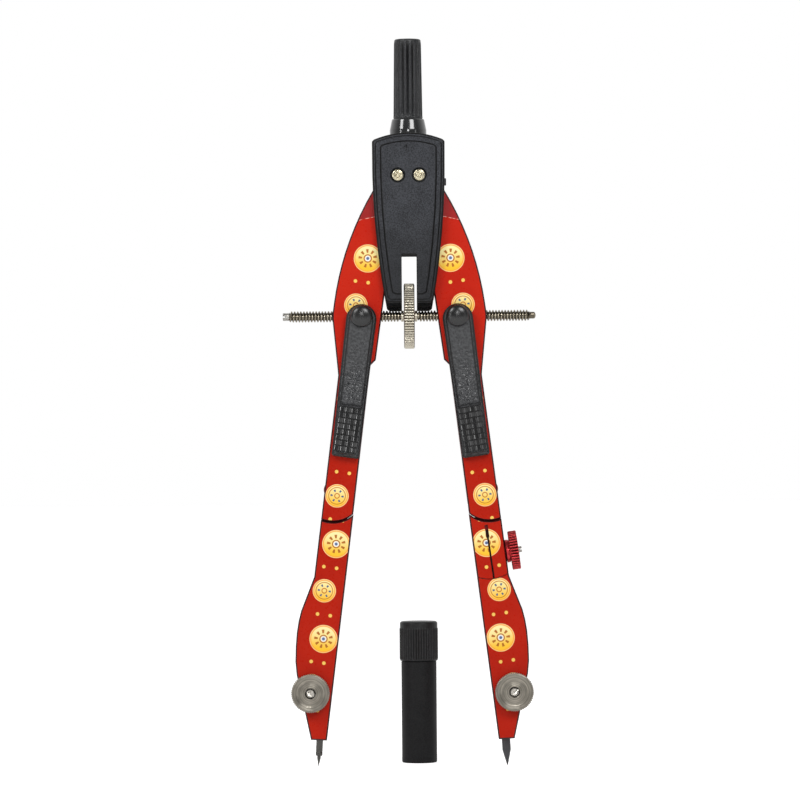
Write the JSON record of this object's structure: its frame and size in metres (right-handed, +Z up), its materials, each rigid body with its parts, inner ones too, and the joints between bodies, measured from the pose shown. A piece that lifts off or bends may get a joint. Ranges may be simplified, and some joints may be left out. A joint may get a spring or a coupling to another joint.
{
  "type": "quick-set bow compass",
  "caption": "Quick-set bow compass with articulated red legs, quick-release levers, threaded spindle and centre wheel, needle and lead points, and a separate capped lead case.",
  "frame": {"origin": "midway between the two points, in the drawing plane that they stand on", "axes": "+Z up the handle, +X to the pencil leg, +Y away from the levers; the legs open in the XZ plane"},
  "size_m": [0.0593, 0.0232, 0.1703],
  "materials": {
    "cover_plastic": "fine matt grain",
    "handle_plastic": "satin, moulded",
    "lever_plastic": "satin, leather-grained",
    "button_plastic": "polished dome",
    "red_lacquer": "glossy red lacquer",
    "knob_metal": "red anodised, knurled",
    "turned_steel": "fine turned face",
    "spindle_steel": "bright thread",
    "spring_steel": "drawn wire",
    "brass": "bright",
    "graphite": "pencil lead, stands in for graphite",
    "case_plastic": "satin moulded"
  },
  "bodies": {
    "head": {"front_cover": "cover_plastic", "rear_cover": "cover_plastic", "handle_grip": "handle_plastic", "handle_collar": "handle_plastic", "handle_stem": "turned_steel", "pivot_screws": "brass", "pivot_nuts": "brass"},
    "leg_left": {"upper_leg_left": "red_lacquer", "knee_pin_left": "turned_steel"},
    "leg_right": {"upper_leg_right": "red_lacquer", "knee_pin_right": "turned_steel"},
    "shank_left": {"lower_leg_left": "red_lacquer"},
    "shank_right": {"lower_leg_right": "red_lacquer", "socket_stud": "turned_steel"},
    "barrel_left": {"nut_barrel_left": "brass", "button_cap_left": "button_plastic"},
    "barrel_right": {"nut_barrel_right": "brass", "button_cap_right": "button_plastic"},
    "half_nut_left": {"half_nut_left": "brass"},
    "half_nut_right": {"half_nut_right": "brass"},
    "lever_left": {"lever_left": "lever_plastic", "lever_spring_left": "spring_steel"},
    "lever_right": {"lever_right": "lever_plastic", "lever_spring_right": "spring_steel"},
    "wheel_carrier": {"wheel_collars": "brass"},
    "spindle": {"spindle": "spindle_steel", "centre_wheel": "spindle_steel"},
    "clamp_left": {"clamp_wheel_left": "turned_steel", "clamp_stud_left": "turned_steel"},
    "clamp_right": {"clamp_wheel_right": "turned_steel", "clamp_stud_right": "turned_steel"},
    "needle": {"needle": "turned_steel"},
    "insert": {"pencil_insert": "red_lacquer", "insert_tenon": "turned_steel"},
    "lead": {"lead": "graphite"},
    "knob": {"socket_knob": "knob_metal"},
    "case": {"case_tube": "case_plastic", "spare_lead": "graphite"},
    "case_cap": {"case_cap": "case_plastic"}
  },
  "joints": [
    {"name": "leg_left_swing", "type": "hinge", "parent": "head", "child": "leg_left", "pos_m": [-0.00253, 0, 0.13831], "axis": [0, 1, 0], "range_deg": [-8, 28]},
    {"name": "leg_right_swing", "type": "hinge", "parent": "head", "child": "leg_right", "pos_m": [0.00253, 0, 0.13831], "axis": [0, -1, 0], "range_deg": [-8, 28]},
    {"name": "barrel_left_turn", "type": "hinge", "parent": "leg_left", "child": "barrel_left", "pos_m": [-0.01124, 0, 0.10541], "axis": [0, -1, 0], "range_deg": [-8, 28]},
    {"name": "barrel_right_turn", "type": "hinge", "parent": "leg_right", "child": "barrel_right", "pos_m": [0.01124, 0, 0.10541], "axis": [0, 1, 0], "range_deg": [-8, 28]},
    {"name": "spindle_travel", "type": "slide", "parent": "barrel_left", "child": "wheel_carrier", "axis": [1, 0, 0], "range_m": [-0.00429, 0.0149]},
    {"name": "spindle_spin", "type": "hinge", "parent": "wheel_carrier", "child": "spindle", "pos_m": [-0.00007, 0, 0.10541], "axis": [1, 0, 0], "range_deg": [-2126, 7429]},
    {"name": "knee_left_bend", "type": "hinge", "parent": "leg_left", "child": "shank_left", "pos_m": [-0.01822, 0, 0.06479], "axis": [0, -1, 0], "range_deg": [0, 35]},
    {"name": "knee_right_bend", "type": "hinge", "parent": "leg_right", "child": "shank_right", "pos_m": [0.01822, 0, 0.06479], "axis": [0, 1, 0], "range_deg": [0, 35]},
    {"name": "lever_left_squeeze", "type": "hinge", "parent": "leg_left", "child": "lever_left", "pos_m": [-0.01124, 0, 0.10541], "axis": [0, -1, 0], "range_deg": [0, 3.5], "stiffness_Nm_per_rad": 0.6, "springref_deg": -4.58},
    {"name": "lever_right_squeeze", "type": "hinge", "parent": "leg_right", "child": "lever_right", "pos_m": [0.01124, 0, 0.10541], "axis": [0, 1, 0], "range_deg": [0, 3.5], "stiffness_Nm_per_rad": 0.6, "springref_deg": -4.58},
    {"name": "half_nut_left_lift", "type": "slide", "parent": "barrel_left", "child": "half_nut_left", "axis": [0, -1, 0], "range_m": [0, 0.0005]},
    {"name": "half_nut_right_lift", "type": "slide", "parent": "barrel_right", "child": "half_nut_right", "axis": [0, -1, 0], "range_m": [0, 0.0005]},
    {"name": "clamp_left_turn", "type": "hinge", "parent": "shank_left", "child": "clamp_left", "pos_m": [-0.02385, 0, 0.01731], "axis": [0, -1, 0], "range_deg": [0, 720]},
    {"name": "needle_slide", "type": "slide", "parent": "shank_left", "child": "needle", "axis": [-0.0537, 0, -0.9986], "range_m": [-0.0015, 0.012]},
    {"name": "knob_turn", "type": "hinge", "parent": "shank_right", "child": "knob", "pos_m": [0.02311, 0, 0.05023], "axis": [0.9901, 0, 0.1406], "range_deg": [0, 720]},
    {"name": "insert_slide", "type": "slide", "parent": "shank_right", "child": "insert", "axis": [0.1406, 0, -0.9901], "range_m": [0, 0.012]},
    {"name": "clamp_right_turn", "type": "hinge", "parent": "insert", "child": "clamp_right", "pos_m": [0.02385, 0, 0.01731], "axis": [0, -1, 0], "range_deg": [0, 720]},
    {"name": "lead_slide", "type": "slide", "parent": "insert", "child": "lead", "axis": [0.0537, 0, -0.9986], "range_m": [-0.0015, 0.009]},
    {"name": "case_move", "type": "slide", "parent": "head", "child": "case", "axis": [0, 1, 0], "range_m": [0, 0.05]},
    {"name": "case_cap_pull", "type": "slide", "parent": "case", "child": "case_cap", "axis": [0, 0, 1], "range_m": [0, 0.012]}
  ],
  "couplings": [
    {"joint": "leg_right_swing", "follows": "leg_left_swing", "ratio": 1},
    {"joint": "barrel_left_turn", "follows": "leg_left_swing", "ratio": 1},
    {"joint": "barrel_right_turn", "follows": "leg_left_swing", "ratio": 1},
    {"joint": "spindle_travel", "follows": "leg_left_swing", "m_per_rad": 0.030384},
    {"joint": "spindle_spin", "follows": "leg_left_swing", "ratio": 265.15},
    {"joint": "half_nut_left_lift", "follows": "lever_left_squeeze", "m_per_rad": 0.007367},
    {"joint": "half_nut_right_lift", "follows": "lever_right_squeeze", "m_per_rad": 0.007367}
  ]
}
